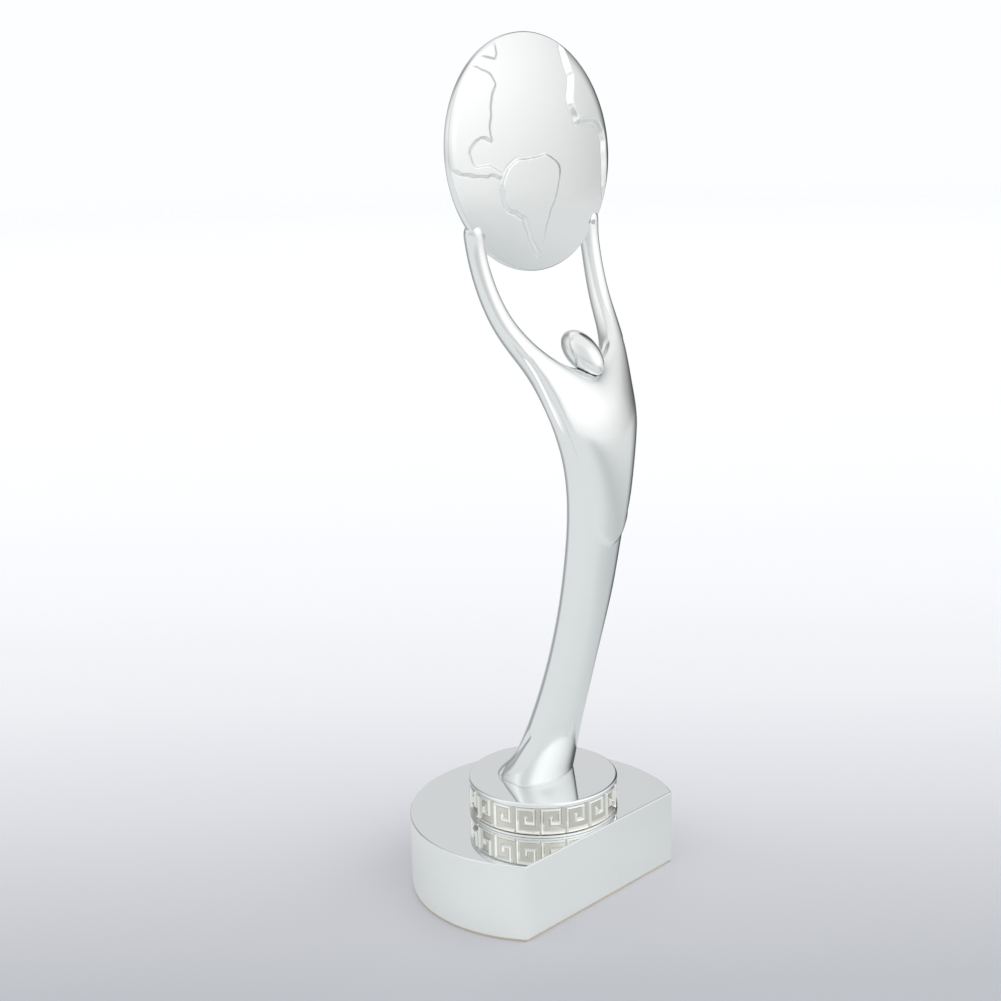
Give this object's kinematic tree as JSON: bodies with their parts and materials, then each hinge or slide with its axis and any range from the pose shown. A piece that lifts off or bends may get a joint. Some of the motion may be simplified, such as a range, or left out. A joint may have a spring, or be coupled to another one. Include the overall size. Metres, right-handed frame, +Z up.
{
  "type": "figure trophy",
  "caption": "Silver trophy: a slender faceless figure on a Greek-key collar and a D-shaped base lifts a globe disc overhead.",
  "frame": {"origin": "on the table plane, on the axis of the base's round part and of the collar", "axes": "+Z up, -Y out of the base's flat front and the way the figure faces, +X to the right as seen from the front"},
  "size_m": [0.09, 0.0796, 0.2781],
  "materials": {
    "satin_silver": "satin silver plate on zinc",
    "bright_silver": "polished silver plate",
    "bright_relief": "bright silver plate with raised key pattern",
    "raw_iron": "as cast",
    "zinc_plated_steel": "zinc plated",
    "beige_felt": "felt"
  },
  "bodies": {
    "root": {"base_shell": "satin_silver", "ballast_plate": "raw_iron", "felt_pad": "beige_felt", "collar_drum": "satin_silver", "fret_band": "bright_relief", "collar_top_plate": "bright_silver", "figure_body": "satin_silver", "head": "satin_silver", "head_pin": "zinc_plated_steel", "disc_front": "satin_silver", "disc_back": "satin_silver", "hand_pin_left": "zinc_plated_steel", "hand_pin_right": "zinc_plated_steel", "mounting_stud": "zinc_plated_steel", "foot_dowel": "zinc_plated_steel", "collar_dowel": "zinc_plated_steel", "clamp_washer": "zinc_plated_steel", "spring_washer": "zinc_plated_steel", "hex_nut": "zinc_plated_steel"}
  },
  "joints": []
}
